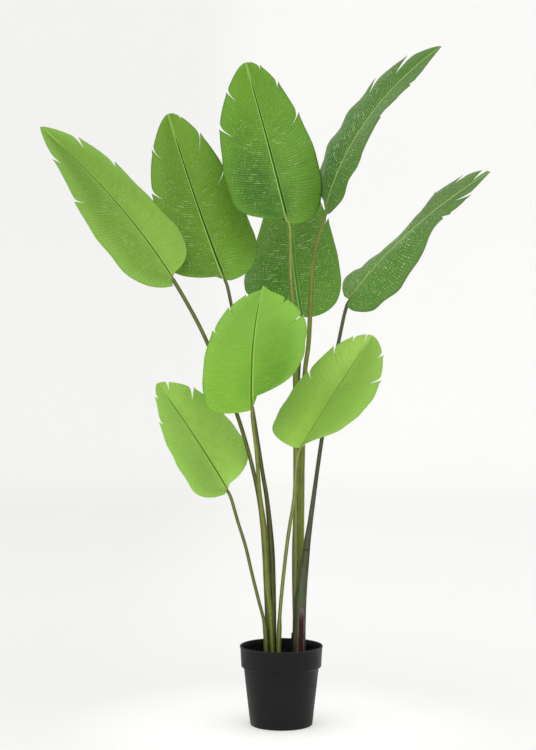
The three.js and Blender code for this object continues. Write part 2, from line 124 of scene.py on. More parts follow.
def turned_piece(name, profile, sides, flip=False):
    """A piece turned about Z from a profile of (radius, height) that starts on the axis."""
    points = []
    for radius, height in profile:
        points += [(x, y, height) for x, y in circle(radius, sides)]
    closed = profile[-1][0] == 0
    return build_piece(name, points, turned_faces(len(profile) - 1 - closed, sides, closed, flip))


class Finish:
    """A material whose nodes are added and joined in one line each."""

    def __init__(self, name, specular):
        self.material = bpy.data.materials.new(name)
        self.material.use_nodes = True
        self.tree = self.material.node_tree
        self.surface = self.tree.nodes["Principled BSDF"].inputs
        self.set("Specular IOR Level", specular)

    def join(self, value, socket):
        if hasattr(value, "is_output"):
            self.tree.links.new(value, socket)
        else:
            socket.default_value = value

    def set(self, name, value):
        self.join(value, self.surface[name])

    def node(self, kind, inputs, output=0, **settings):
        node = self.tree.nodes.new("ShaderNode" + kind)
        for key, value in settings.items():
            setattr(node, key, value)
        for key, value in inputs.items():
            self.join(value, node.inputs[key])
        return node.outputs[output]

    def place(self):
        return self.node("TexCoord", {}, "Object")

    def uv(self, name):
        return self.node("UVMap", {}, uv_map=name)

    def axis(self, vector, letter):
        return self.node("SeparateXYZ", {"Vector": vector}, letter)

    def math(self, operation, value, *others):
        """A value worked on by the others in turn, or by itself."""
        for other in others or (0.0,):
            value = self.node("Math", {0: value, 1: other}, operation=operation)
        return value

    def times(self, *values):
        return self.math("MULTIPLY", *values)

    def plus(self, *values):
        return self.math("ADD", *values)

    def gap(self, value, middle):
        return self.math("ABSOLUTE", self.math("SUBTRACT", value, middle))

    def wave(self, turns):
        return self.math("SINE", self.times(turns, 2 * math.pi))

    def span(self, value, low, high, to_low=0.0, to_high=1.0):
        inputs = {"Value": value, "From Min": low, "From Max": high, "To Min": to_low, "To Max": to_high}
        return self.node("MapRange", inputs, "Result", interpolation_type="SMOOTHSTEP")

    def clouds(self, vector, scale, detail=3.0, roughness=0.5):
        """Clouds of noise. A scale of three numbers stretches them along the axes."""
        if isinstance(scale, tuple):
            vector, scale = self.node("Mapping", {"Vector": vector, "Scale": scale}), 1.0
        inputs = {"Vector": vector, "Scale": scale, "Detail": detail, "Roughness": roughness}
        return self.node("TexNoise", inputs, "Fac")

    def mix(self, share, a, b):
        return self.node("Mix", {0: share, 6: a, 7: b}, 2, data_type="RGBA")

    def stain(self, base, colour, value, start, full, share):
        """The colour over the base: none where the value is at `start`, `share` of it at `full`."""
        return self.mix(self.span(value, start, full, 0, share), base, colour)

    def bump(self, height, strength, distance):
        inputs = {"Height": height, "Strength": strength, "Distance": distance}
        if self.surface["Normal"].links:
            inputs["Normal"] = self.surface["Normal"].links[0].from_socket
        self.set("Normal", self.node("Bump", inputs))


def rgb(red, green, blue):
    """A colour given in the 0-255 steps of a paint chart, as linear light."""
    steps = [v / 255 for v in (red, green, blue)]
    return (*[v / 12.92 if v <= 0.04045 else ((v + 0.055) / 1.055) ** 2.4 for v in steps], 1.0)


plastic = Finish("black_polypropylene", 0.16)
place = plastic.place()
height = plastic.axis(place, "Z")
cloud = plastic.clouds(place, 22, 5, 0.6)
streak = plastic.clouds(place, (90, 90, 6), 4, 0.6)
dust = plastic.span(cloud, 0.48, 0.75, 0, 0.45)
scuff = plastic.span(streak, 0.60, 0.74, 0, 0.35)
foot_dust = plastic.span(height, 0.012, 0, 0, 0.5)
worn = plastic.math("MAXIMUM", dust, scuff, foot_dust)
black = plastic.mix(worn, rgb(20, 20, 21), rgb(38, 36, 35))
# Painted shadow: a near-black line round the groove under the band, where the band's lower edge shades the
# wall.
black = plastic.stain(black, rgb(3, 3, 3), plastic.gap(height, BAND_FOOT), 0.0022, 0.0008, 0.85)
# Painted shade: the inner wall above the shelf is made near-black, as the inside of the pot lies in shade.
level = plastic.node("Mapping", {"Vector": place, "Scale": (1, 1, 0)})
radius = plastic.node("VectorMath", {0: level}, "Value", operation="LENGTH")
past_wall = plastic.plus(radius, plastic.times(height, -WALL_SLOPE), -WALL_RADIUS)
inside = plastic.times(plastic.span(past_wall, -0.0006, -0.0011), plastic.span(height, *SHELF_HEIGHTS))
black = plastic.mix(plastic.times(inside, 0.8), black, rgb(5, 5, 5))
# Painted highlight: a faint pale line round the top of the rim, where its rounded edge catches the light.
plastic.set("Base Color", plastic.stain(black, rgb(120, 118, 118), height, *RIM_HEIGHTS, 0.06))
plastic.set("Roughness", plastic.span(cloud, 0.3, 0.7, 0.40, 0.58))
plastic.bump(plastic.clouds(place, 1400, 2), 0.25, 0.0002)
plastic.bump(plastic.clouds(place, 45, 2), 0.12, 0.001)

pot_profile = [(radius * MM, height * MM) for radius, height in POT_OUTSIDE + POT_INSIDE]
pot = turned_piece("nursery_pot", pot_profile, POT_SIDES, flip=True)
pot.data.materials.append(plastic.material)
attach(pot, "root")
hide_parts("pot")

# Potting mix
# Damp peat with bark crumbs and a little grit, filled by hand to about a finger's width below the
# shoulder of the band and pressed down round the stalks.
SOIL_LEVEL = 0.1338
SOIL_RISE = 0.0025
SOIL_RADIUS = 0.0848
SOIL_FOOT = 0.118
SOIL_FOOT_RADIUS = 0.0788
SOIL_RINGS = 60
SOIL_SPOKES = 150
# Lumps, grains and fine grains: how close they lie, which slice of the noise they use, how tall.
SOIL_LUMPS = ((38, 0.3, 0.0022), (150, 4.1, 0.0011), (420, 9.7, 0.0007))
CRUMBS = 900
CRUMB_MARGIN = 0.004
SMALLEST_CRUMB = 0.0006
CRUMB_RANGE = 0.0022
CRUMB_HEIGHT = 0.6
CRUMB_PROUD = 0.2
crumb_dice = random.Random(11)


def soil_height(x, y):
    lumps = [tall * noise.noise(Vector((x * close, y * close, cut))) for close, cut, tall in SOIL_LUMPS]
    return SOIL_LEVEL + sum(lumps) + SOIL_RISE * (math.hypot(x, y) / SOIL_RADIUS) ** 4


def add_crumb(points, faces, centre, size, squash):
    """A broken lump: an eight-cornered block with every corner knocked about."""
    first = len(points)
    turn = crumb_dice.uniform(0, math.pi)
    for corner in range(8):
        ways = [1 if corner & bit else -1 for bit in (1, 2, 4)]
        long, wide, tall = [way * crumb_dice.uniform(0.55, 1.0) * size for way in ways]
        wide *= squash
        x = long * math.cos(turn) - wide * math.sin(turn)
        y = long * math.sin(turn) + wide * math.cos(turn)
        points.append((centre[0] + x, centre[1] + y, centre[2] + CRUMB_HEIGHT * tall))
    for quad in ((0, 2, 3, 1), (4, 5, 7, 6), (0, 1, 5, 4), (2, 6, 7, 3), (0, 4, 6, 2), (1, 3, 7, 5)):
        faces.append(tuple(first + corner for corner in quad))


points = []
for i in range(SOIL_RINGS + 1):
    spots = circle(SOIL_RADIUS * i / SOIL_RINGS, SOIL_SPOKES)
    points += [(x, y, soil_height(x, y)) for x, y in spots]
points += [(x, y, SOIL_FOOT) for radius in (SOIL_FOOT_RADIUS, 0) for x, y in circle(radius, SOIL_SPOKES)]
faces = turned_faces(SOIL_RINGS + 1, SOIL_SPOKES)
filling_faces = len(faces)
for _ in range(CRUMBS):
    radius = (SOIL_RADIUS - CRUMB_MARGIN) * math.sqrt(crumb_dice.random())
    angle = crumb_dice.uniform(0, 2 * math.pi)
    x, y = radius * math.cos(angle), radius * math.sin(angle)
    size = SMALLEST_CRUMB + CRUMB_RANGE * crumb_dice.random() ** 3
    squash = crumb_dice.uniform(0.35, 1.0)
    add_crumb(points, faces, (x, y, soil_height(x, y) + CRUMB_PROUD * size), size, squash)
soil = build_piece("potting_mix", points, faces, filling_faces)

peat = Finish("damp_peat_and_bark", 0.1)
place = peat.place()
lump = peat.clouds(place, 90, 5, 0.7)
brown = peat.mix(peat.span(lump, 0.35, 0.65), rgb(22, 17, 13), rgb(58, 42, 31))
brown = peat.stain(brown, rgb(104, 84, 64), peat.clouds(place, 520, 2), 0.66, 0.74, 0.7)
peat.set("Base Color", brown)
peat.set("Roughness", peat.span(lump, 0.3, 0.7, 0.75, 0.98))
peat.bump(peat.clouds(place, 700, 4, 0.7), 0.6, 0.0008)
soil.data.materials.append(peat.material)
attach(soil, "root")
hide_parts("soil")

# Leaf blades
# Nine paddle-shaped blades of a bird of paradise, leathery and half folded along the midrib, with
# close side veins that sweep up to the margin. The blades have torn along those veins.

# Lengths are millimetres from here on, and become metres where a mesh is built.
ROWS_PER_BLADE = 140
FOOT_ROWS = (0.004, 0.010, 0.020)
LAST_ROW = 0.995
OUTER_COLUMNS = 18
FULLNESS_AT = (0.0, 0.15, 0.4, 0.7, 1.0)
RIPPLES = 5
ROW_CROWDING = 0.35
APEX_FROM = 0.9
SHEET = 0.9
# Slow swells of the sheet: height, turns along and across, and how far out they reach full height.
SWELL = 0.7
SWELL_ALONG = 13
SWELL_ACROSS = 0.031
SWELL_FULL_FROM = 40
# How far veins bend up towards the margin, and how they reach it and leave a notched foot.
VEIN_SWEEP = 2.6
MARGIN_LIFT = 1.8
MARGIN_START = 1.25
NOTCH_REACH = 8
NOTCH_WIDTH = 4
# Fine pleats, and the tears: how long a corner is, how high and how far along a lip stands up.
PLEAT = 0.25
PLEATS = 28
CORNER_LENGTH = 0.030
TEAR_LIFT = 2.4
TEAR_FLARE = 5
LIFTED_LENGTH = 0.03
BESIDE_TEAR = (0.0008, 0.003, 0.007)
# The midrib: distance out and height of the channel above and the ridge below, and how it thins.
CHANNEL = [(0.0, -1.5), (0.7, -1.25), (1.4, -0.3), (2.1, 0.45), (2.9, 0.6), (3.9, 0.25), (5.2, 0.0)]
RIB_UNDER = [(0.0, 3.0), (1.4, 2.8), (2.8, 1.9), (4.0, 0.8), (5.2, 0.1)]
RIB_THINNING = 0.72
RIB_FULL_FROM = 14
# Side veins on each half, pale dots across the blade, which are painted glints, and the width that the size
# map covers.
SIDE_VEINS = 74
DOTS_ACROSS = 38
SIZE_MAP_WIDTH = 300

# Half widths left and right, where along the blade each is reached, how square the outline is at
# the foot, how it tapers to the tip, how high the margin ripples, and the length and widths of a
# drawn-out tip. A blade may have its own taper, ripple and drawn-out tip.
BLADE_MOULDS = {
    "large": dict(
        widths=(117, 107), widest=(0.20, 0.29), square=2.2, taper=(1.8, 0.61), ripple=1.5, apex=(0, 1, 1)
    ),
    "small": dict(
        widths=(118, 121), widest=(0.16, 0.37), square=2.6, taper=(2.1, 0.70), ripple=0.6, apex=(0, 1, 1)
    ),
}

# Foot and tip are places. Roll, twist and folds are degrees; bow, sway and curl are millimetres.
# Pairs are left and right. A tear is where along the blade its vein starts, how far out its inner
# end lies, how wide it gapes, and how far the corners below and above it stand out or, where
# negative, are drawn in. Greens: low down at left and right, towards the tip likewise, margin.
# They carry painted light and shade as well as the leaf's own green: halves that lie in shade, as
# front_left's right and front_right's left, are painted lighter, and far_right's greyish low left
# is a painted sheen. Then come the side, -1 left or 1 right, on which the midrib's pale lip carries
# a brighter painted highlight; how clearly the pale dots and dashes on the veins show, which are
# painted glints off the raised veins; and how dark the painted shade in the vein furrows is.
BLADES = {
    "far_left": dict(
        mould="large", foot=(-232, -60, 963), tip=(-523, 5, 1296), ripple=0.8,
        roll=48, twist=4, bow=-7, sway=31, curl=17, folds=((10, 8, 12), (5, 5, 17)),
        shoulders=(0.95, 1.14), uppers=(0.93, 1.06), lobes=(0.04, -0.02), taper=(2.2, 0.8),
        tears=([(0.475, 0.76, 0.002, 0, -0.03), (0.675, 0.84, 0.003, 0.015, -0.06)],
               [(0.545, 0.94, 0.002, 0.01, -0.06), (0.725, 0.8, 0.0045, 0.02, -0.1)]),
        greens=((118, 159, 57), (141, 182, 72), (103, 144, 49), (119, 161, 58), (148, 193, 89)),
        midrib=(58, 98, 4), lip=1, dashes=0.4, veins=0.12,
    ),
    "left": dict(
        mould="large", foot=(-122, 10, 963), tip=(-256, 169, 1352),
        roll=12, twist=-23, bow=-36, sway=3, curl=19, folds=((0, 20, 0), (5, 2, 15)),
        shoulders=(0.93, 1.02), uppers=(1.0, 1.02), lobes=(-0.03, 0.01),
        tears=([(0.47, 0.74, 0.0022, 0.02, -0.07), (0.7, 0.76, 0.0024, 0.03, -0.08)],
               [(0.53, 0.7, 0.0024, 0.02, -0.05), (0.71, 0.7, 0.003, 0.02, -0.07),
                (0.865, 0.9, 0.003, 0, -0.06), (0.952, 0.3, 0.003, 0, 0)]),
        greens=((94, 134, 39), (112, 160, 50), (102, 142, 45), (114, 156, 51), (120, 166, 59)),
        midrib=(20, 62, 0), lip=-1, dashes=0.75, veins=0.2,
    ),
    "top": dict(
        mould="large", foot=(16, 10, 1087), tip=(-80, 211, 1477.5),
        roll=13, twist=-23, bow=-1, sway=2, curl=19, folds=((-7, 5, 0), (-5, 11, 10)),
        shoulders=(0.9, 1.0), uppers=(1.06, 0.97), lobes=(-0.03, 0.005),
        tears=([(0.49, 0.7, 0.0026, 0.02, -0.12), (0.7, 0.7, 0.0026, 0.02, -0.12)],
               [(0.51, 0.72, 0.003, 0.02, -0.08), (0.69, 0.7, 0.003, 0.02, -0.1),
                (0.85, 0.9, 0.003, 0.02, -0.06), (0.948, 0.3, 0.003, 0, 0)]),
        greens=((70, 115, 37), (114, 162, 63), (106, 153, 40), (103, 149, 42), (114, 164, 55)),
        midrib=(32, 82, 2), lip=-1, dashes=0.75, veins=0.2,
    ),
    "behind": dict(
        mould="large", foot=(47, 110, 888), tip=(27, 368, 1252),
        roll=4, twist=-24, bow=-16, sway=-7, curl=13, folds=((12, -16, -6), (12, 6, 9)),
        shoulders=(1.02, 0.98), uppers=(0.88, 1.0), lobes=(0.01, 0.01),
        tears=([(0.69, 0.76, 0.003, 0.02, -0.07)],
               [(0.53, 0.86, 0.003, 0.02, -0.06), (0.69, 0.62, 0.004, 0.02, -0.07),
                (0.86, 0.9, 0.004, 0.02, -0.07)]),
        greens=((80, 136, 32), (102, 151, 53), (109, 144, 64), (86, 127, 48), (109, 159, 59)),
        midrib=(84, 152, 54), lip=-1, dashes=1.1, veins=0.24,
    ),
    "top_right": dict(
        mould="large", foot=(99, 90, 1122), tip=(340, -63, 1456), ripple=2.2,
        roll=-63, twist=-1, bow=46, sway=7, curl=18,
        folds=((15, 10, 10), (12, 13, 16, 18, 24, 20, 11, 12)),
        shoulders=(1.02, 0.95), uppers=(1.09, 1.02), lobes=(-0.03, 0.005), taper=(2.2, 0.8),
        tears=([(0.53, 0.66, 0.01, 0.02, -0.06), (0.71, 0.56, 0.01, 0.03, -0.2)],
               [(0.49, 0.96, 0.001, -0.06, 0.02), (0.67, 0.96, 0.001, -0.1, 0.03)]),
        greens=((77, 121, 53), (85, 127, 51), (77, 118, 43), (77, 118, 43), (105, 141, 70)),
        midrib=(158, 192, 96), lip=-1, dashes=1.2, veins=0.2,
    ),
    "far_right": dict(
        mould="large", foot=(152, 60, 922), tip=(428, -173, 1174), ripple=2.6,
        roll=-67, twist=4, bow=29, sway=16, curl=58,
        folds=((51, 28, 12, 7, 15, 26, 20, 20), (16, 17, 17, 17, 19, 27, 17, 16)),
        shoulders=(1.2, 0.98), uppers=(0.88, 0.86), lobes=(0.02, 0.01), taper=(2.2, 0.8),
        tears=([(0.57, 0.95, 0.002, 0, -0.1), (0.72, 0.84, 0.006, 0.03, -0.08), (0.9, 0.4, 0.022, 0, 0)],
               [(0.62, 0.96, 0.001, -0.1, 0.05), (0.76, 0.5, 0.0035, 0.03, -0.06)]),
        greens=((113, 150, 82), (86, 138, 46), (98, 129, 73), (82, 119, 59), (109, 145, 73)),
        midrib=(172, 212, 118), lip=-1, dashes=1.4, veins=0.2,
    ),
    "front": dict(
        mould="small", foot=(-62, -150, 684), tip=(-41, 1, 940),
        roll=-25, twist=35, bow=24, sway=1, curl=10, folds=((13, 12, 10), (-2, 6, 14)),
        shoulders=(1.01, 0.96), uppers=(0.99, 1.07), lobes=(0.004, -0.085), apex=(11, 1, 13),
        tears=([(0.5, 0.88, 0.002, 0.01, -0.05), (0.67, 0.76, 0.003, 0.01, -0.06),
                (0.82, 0.9, 0.002, 0.01, -0.05)],
               [(0.54, 0.74, 0.003, 0.02, -0.06), (0.72, 0.86, 0.003, 0.02, -0.06)]),
        greens=((130, 182, 58), (98, 149, 41), (123, 172, 64), (131, 182, 68), (144, 197, 81)),
        midrib=(92, 132, 4), lip=1, dashes=0.1, veins=0.22,
    ),
    "front_right": dict(
        mould="small", foot=(40, -141, 605), tip=(193, -63, 841),
        roll=-49, twist=37, bow=-11, sway=-14, curl=18, folds=((28, 20, 19), (19, 16, 19)),
        shoulders=(1.04, 1.06), uppers=(0.92, 0.97), lobes=(0.02, -0.02),
        tears=([(0.47, 0.76, 0.0035, 0.02, -0.06), (0.67, 0.76, 0.0040, 0.02, -0.06),
                (0.815, 0.88, 0.005, 0.02, -0.06), (0.93, 0.3, 0.006, 0, 0)],
               [(0.545, 0.74, 0.003, 0.02, -0.06), (0.735, 0.86, 0.003, 0.02, -0.06)]),
        greens=((164, 209, 87), (130, 177, 62), (172, 213, 100), (136, 177, 74), (155, 200, 89)),
        midrib=(132, 166, 46), lip=1, dashes=0.08, veins=0.18,
    ),
    "front_left": dict(
        mould="small", foot=(-114, -110, 515), tip=(-263, -87, 739),
        roll=50, twist=-3, bow=-39, sway=46, curl=13, folds=((17, 17, 20), (17, 12, 17)),
        shoulders=(0.95, 1.04), uppers=(1.04, 1.01), lobes=(0.02, -0.035),
        tears=([(0.59, 0.9, 0.003, 0.01, -0.04), (0.79, 0.9, 0.004, 0.01, -0.04)],
               [(0.7, 0.72, 0.010, 0.02, -0.05), (0.89, 0.5, 0.009, 0, 0)]),
        greens=((137, 180, 74), (176, 223, 99), (159, 204, 92), (171, 218, 97), (164, 211, 95)),
        midrib=(86, 126, 8), lip=-1, dashes=0.1, veins=0.18,
    ),
}


def unit(vectors):
    return vectors / np.linalg.norm(vectors, axis=-1, keepdims=True)


def eased(stations, values, at):
    """Smooth steps between values at stations."""
    stations, values = np.asarray(stations, float), np.asarray(values, float)
    at = np.clip(at, stations[0], stations[-1])
    i = np.clip(np.searchsorted(stations, at, side="right") - 1, 0, len(stations) - 2)
    share = (at - stations[i]) / (stations[i + 1] - stations[i])
    share = share * share * (3 - 2 * share)
    return values[i] * (1 - share) + values[i + 1] * share


class Blade:
    """The shape of one blade. `sign` is -1 on its left half and 1 on its right half."""

    def __init__(self, name, sizes):
        vars(self).update(BLADE_MOULDS[sizes["mould"]], **sizes)
        self.name = name
        self.foot = np.array(self.foot, float)
        self.chord = np.array(self.tip, float) - self.foot
        axis = unit(self.chord)
        forward = np.array([0.0, -1.0, 0.0])
        facing = unit(forward - axis * (forward @ axis))
        turn = math.radians(self.roll)
        self.upper = math.cos(turn) * facing + math.sin(turn) * np.cross(axis, facing)
        self.side = np.cross(axis, self.upper)

    def half_width(self, sign, share):
        fullness, point = self.taper
        halves = []
        for half in (0, 1):
            widest, lobe = self.widest[half], self.lobes[half]
            shoulder, upper = self.shoulders[half], self.uppers[half]
            down = np.clip((widest - share) / (widest + lobe), 0, 1)
            up = np.clip((share - widest) / (1 - widest), 0, 1)
            below = np.sqrt(1 - down ** self.square)
            above = (1 - up ** fullness) ** point
            full = eased(FULLNESS_AT, (shoulder, shoulder, 1, upper, 1), share)
            halves.append(self.widths[half] * full * np.where(share < widest, below, above))
        return np.where(sign < 0, *halves)

    def margin_share(self, sign, vein):
        lobe = np.where(sign < 0, *self.lobes)
        return (1 - (1 - vein ** MARGIN_START) ** MARGIN_LIFT) * (1 + lobe) - lobe

    def along_vein(self, sign, vein, out, distance):
        """Share of the length at `distance` from the midrib. Above a notched foot, veins leave higher."""
        notch = np.maximum(0, -np.where(sign < 0, *self.lobes)) * (1 - vein) ** NOTCH_REACH
        start = vein + notch * np.clip(distance / NOTCH_WIDTH, 0, 1)
        return start + (self.margin_share(sign, vein) - start) * out ** VEIN_SWEEP

    def point(self, share, across):
        """Millimetres, for arrays of a share of the length and a distance from the midrib."""
        share, across = np.broadcast_arrays(np.asarray(share, float), np.asarray(across, float))
        turn = np.radians(self.twist * (share - 0.5))[..., None]
        up = self.upper * np.cos(turn) + self.side * np.sin(turn)
        out = self.side * np.cos(turn) - self.upper * np.sin(turn)
        arch = (4 * share * (1 - share))[..., None]
        apex_length, *apex_widths = self.apex
        apex = np.exp(-(across / np.where(across < 0, *apex_widths)) ** 2)
        apex = apex * eased((APEX_FROM, 1.0), (0, 1), share)
        folds = [eased(np.linspace(0, 1, len(fold)), fold, share) for fold in self.folds]
        fold = np.radians(np.where(across < 0, *folds))
        distance = np.abs(across)
        wave = self.ripple * np.sin(2 * np.pi * RIPPLES * share) * (distance / 100) ** 3
        swell = SWELL * np.sin(SWELL_ALONG * share + SWELL_ACROSS * across)
        swell = swell * np.minimum(1, distance / SWELL_FULL_FROM)
        raised = distance * np.sin(fold) - self.curl * (distance / 100) ** 2 + wave + swell
        bend = self.bow * self.upper + self.sway * self.side
        drawn_out = share + apex_length * apex / np.linalg.norm(self.chord)
        middle = self.foot + drawn_out[..., None] * self.chord + arch * bend
        return middle + (across * np.cos(fold))[..., None] * out + raised[..., None] * up

    def normal(self, share, across):
        along = self.point(share + 0.002, across) - self.point(share - 0.002, across)
        over = self.point(share, across + 0.2) - self.point(share, across - 0.2)
        return unit(np.cross(over, along))


def blade_rows(tears):
    """Vein starts, even along the blade, closer at both ends and with a row on every tear."""
    even = np.linspace(0, 1, ROWS_PER_BLADE)
    even = (1 - ROW_CROWDING) * even + ROW_CROWDING * (1 - np.cos(np.pi * even)) / 2
    starts = {tear[0]: tear[2] for tear in tears}
    kept = [v for v in even if all(abs(v - at) > gape + BESIDE_TEAR[-1] for at, gape in starts.items())]
    near = []
    for at, gape in starts.items():
        near += [at + sign * (gape + beyond) for sign in (-1, 1) for beyond in BESIDE_TEAR]
    extra = [v for v in (*FOOT_ROWS, *near) if 0 < v < LAST_ROW]
    return sorted({*kept, *starts, *extra})


def near_tears(tears, vein, out):
    """How far out the margin lies beside a tear, and how far the strip is lifted."""
    pull, lift = 1.0, 0.0
    for at, inner, gape, below, above in tears:
        gap = vein - at
        corner = above if gap > 0 else below
        near = max(0.0, 1 + (gape - abs(gap)) / CORNER_LENGTH)
        if near <= 1:
            pull += corner * (near ** 2 if corner > 0 else 1 - math.sqrt(1 - near ** 2))
        inside = max(0.0, (out - inner) / (1 - inner))
        lift += TEAR_LIFT * inside ** 2 * math.exp(-abs(gap) / LIFTED_LENGTH) * (1 if gap > 0 else -1)
    return pull, lift


class BladeSheet:
    """The vertices of one blade before they are placed: where each lies on its vein."""

    def __init__(self):
        self.entries = []
        self.triangles = []

    def add(self, sign, vein, out, grown, pull=1.0, lift=0.0):
        self.entries.append((sign, vein, out, grown, pull, lift))
        return len(self.entries) - 1

    def stitch(self, below, above, flip):
        """Two triangles between neighbours of two rows, where the rows differ."""
        for j in range(len(below) - 1):
            quad = (below[j], below[j + 1], above[j + 1], above[j])
            for corners in ((quad[0], quad[1], quad[2]), (quad[0], quad[2], quad[3])):
                if len(set(corners)) == 3:
                    self.triangles.append(corners[::-1] if flip else corners)


def lay_out(shape):
    """Rows along the veins: close columns over the channel, then even ones out to the margin."""
    sheet = BladeSheet()
    rows = blade_rows([*shape.tears[0], *shape.tears[1]])
    columns = [(0.0, distance) for distance, _ in CHANNEL[1:]]
    columns += [(share, None) for share in np.linspace(0, 1, OUTER_COLUMNS + 1)[1:]]
    middle = [sheet.add(1, vein, 0.0, 0.0) for vein in rows]
    for sign, tears in zip((-1, 1), shape.tears):
        gaping = {tear[0]: tear[1:] for tear in tears}
        opening = -1 if sign * shape.roll > 0 else 1
        under, over = [], []
        for start, vein in zip(middle, rows):
            inner, gape, below, above = gaping.get(vein, (1.0, 0.0, 0.0, 0.0))
            lower, upper = [start], [start]
            for out, grown in columns:
                if vein in (rows[0], rows[-1]):
                    pair = start, start
                elif out <= inner:
                    pull, lift = near_tears([tear for tear in tears if tear[0] != vein], vein, out)
                    pair = (sheet.add(sign, vein, out, grown, pull, lift * opening),) * 2
                else:
                    inside = (out - inner) / (1 - inner)
                    opened = gape * (0.5 * math.sqrt(inside) + 0.5 * inside ** TEAR_FLARE)
                    raised = TEAR_LIFT * inside ** 2 * opening
                    below_tear = sheet.add(sign, vein - opened, out, grown, 1 + below, -raised)
                    pair = below_tear, sheet.add(sign, vein + opened, out, grown, 1 + above, raised)
                lower.append(pair[0])
                upper.append(pair[1])
            under.append(lower)
            over.append(upper)
        for i in range(1, len(rows)):
            sheet.stitch(over[i - 1], under[i], sign < 0)
    return sheet


def sheet_faces(upper, count):
    """Faces above, the same below on `count` more vertices, and walls along the open edges."""
    edges = {edge for face in upper for edge in zip(face, face[1:] + face[:1])}
    walls = sorted((a, a + count, b + count, b) for a, b in edges if (b, a) not in edges)
    return upper + turned_over(upper, count) + walls


def add_map(piece, name, x, y):
    """A map that gives every vertex its place. An underside repeats the places of the face above."""
    places = np.resize(np.stack([x, y], axis=1), (len(piece.data.vertices), 2))
    vertices = np.empty(len(piece.data.loops), dtype=np.int32)
    piece.data.loops.foreach_get("vertex_index", vertices)
    piece.data.uv_layers.new(name=name).data.foreach_set("uv", places[vertices].ravel())


def blade_object(shape):
    """The sheet placed in space and given its thickness, channel and rib."""
    sheet = lay_out(shape)
    sign, vein, placed, grown, pull, lift = (np.array(column, float) for column in zip(*sheet.entries))
    margin = shape.margin_share(sign, vein)
    width = shape.half_width(sign, margin)
    taper = (1 - RIB_THINNING * vein) * np.minimum(1.0, np.maximum(width, 0.01) / RIB_FULL_FROM)
    reach = CHANNEL[-1][0] * taper
    trimmed = placed * (1 - (1 - pull) * placed ** 3)
    distance = np.where(np.isnan(grown), reach + (width - reach) * trimmed, np.nan_to_num(grown) * taper)
    out = np.where(width > 1e-6, distance / np.maximum(width, 1e-6), 0.0)
    share = shape.along_vein(sign, vein, out, distance)
    up = shape.normal(share, sign * distance)
    pleat = PLEAT * np.sin(2 * np.pi * PLEATS * vein) * np.clip(4 * out * (1.15 - out), 0, 1)
    middle = shape.point(share, sign * distance) + up * (pleat + lift)[:, None]
    dip = np.interp(distance / taper, *zip(*CHANNEL)) * taper
    rib = np.interp(distance / taper, *zip(*RIB_UNDER), right=0.0) * taper
    top = middle + up * (SHEET / 2 + dip)[:, None]
    bottom = middle - up * (SHEET / 2 + rib)[:, None]

    faces, each_side = sheet_faces(sheet.triangles, len(middle)), len(sheet.triangles)
    points = np.vstack([top, bottom]) * MM
    piece = build_piece(f"leaf_blade_{shape.name}", points, faces, smooth=2 * each_side)
    under_faces = range(each_side, 2 * each_side)
    piece.data.polygons.foreach_set("material_index", [int(i in under_faces) for i in range(len(faces))])
    add_map(piece, "vein", 0.5 + 0.5 * sign * out, vein)
    add_map(piece, "size", 0.5 + sign * distance / SIZE_MAP_WIDTH, share)
    return piece


def blend(a, b, share):
    return (*[v * (1 - share) + w * share for v, w in zip(a[:3], b[:3])], 1.0)


def shade(colour, factor):
    return (*[v * factor for v in colour[:3]], 1.0)


